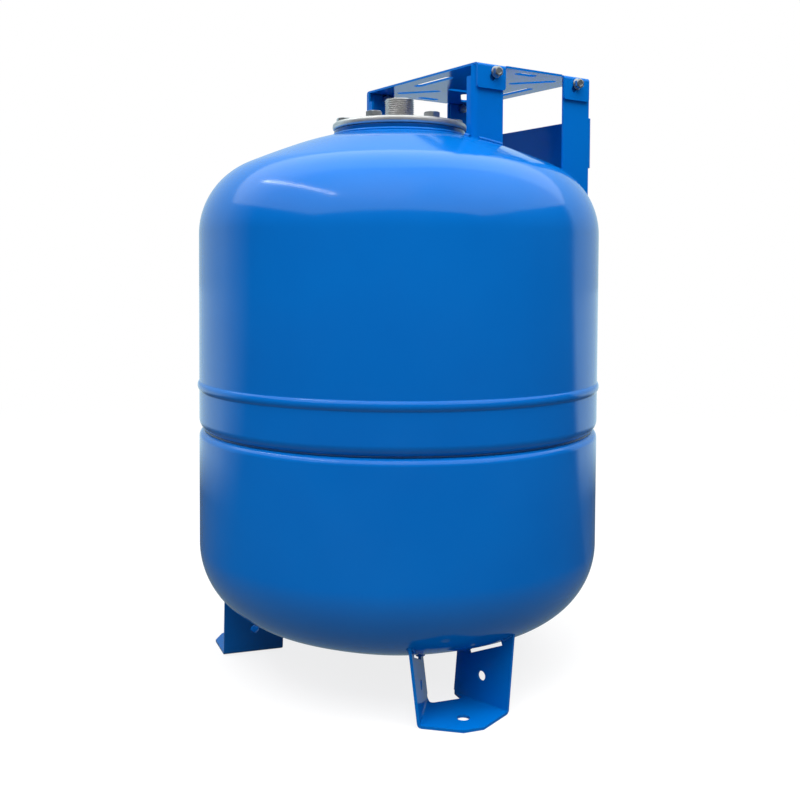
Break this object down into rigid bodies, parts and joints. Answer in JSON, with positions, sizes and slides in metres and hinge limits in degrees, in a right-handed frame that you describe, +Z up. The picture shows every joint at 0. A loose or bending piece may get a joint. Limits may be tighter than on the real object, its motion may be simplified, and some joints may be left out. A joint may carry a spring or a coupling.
{
  "type": "well pressure tank",
  "caption": "Upright blue steel pressure tank on three sheet feet, with a bolted water flange and nipple on top and a slotted pump bracket welded over its neck.",
  "frame": {"origin": "on the tank's axis, at floor level", "axes": "+Z up along the tank's axis, +Y towards the back of the pump bracket, -Y towards the open side of the water connection, +X to the right seen from the front"},
  "size_m": [0.454, 0.454, 0.6662],
  "materials": {
    "blue_enamel": "gloss",
    "bright_steel": "satin",
    "zinc_plate": "satin",
    "black_rubber": "matte",
    "brass": "satin",
    "black_plastic": "matte"
  },
  "bodies": {
    "root": {"air_valve": "brass", "bladder": "black_rubber", "bracket_bolt_1": "zinc_plate", "bracket_bolt_2": "zinc_plate", "bracket_bolt_3": "zinc_plate", "bracket_bolt_4": "zinc_plate", "bracket_nut_1": "zinc_plate", "bracket_nut_2": "zinc_plate", "bracket_nut_3": "zinc_plate", "bracket_nut_4": "zinc_plate", "flange_bolt_1": "zinc_plate", "flange_bolt_2": "zinc_plate", "flange_bolt_3": "zinc_plate", "flange_bolt_4": "zinc_plate", "flange_bolt_5": "zinc_plate", "flange_bolt_6": "zinc_plate", "flange_plate": "bright_steel", "foot_1": "blue_enamel", "foot_2": "blue_enamel", "foot_3": "blue_enamel", "front_post_left": "blue_enamel", "front_post_right": "blue_enamel", "lower_shell": "blue_enamel", "neck_ring": "blue_enamel", "pump_plate": "blue_enamel", "rear_leg": "blue_enamel", "seam_weld": "blue_enamel", "upper_shell": "blue_enamel", "valve_cap": "black_plastic", "valve_core": "zinc_plate", "water_nipple": "bright_steel"}
  },
  "joints": []
}
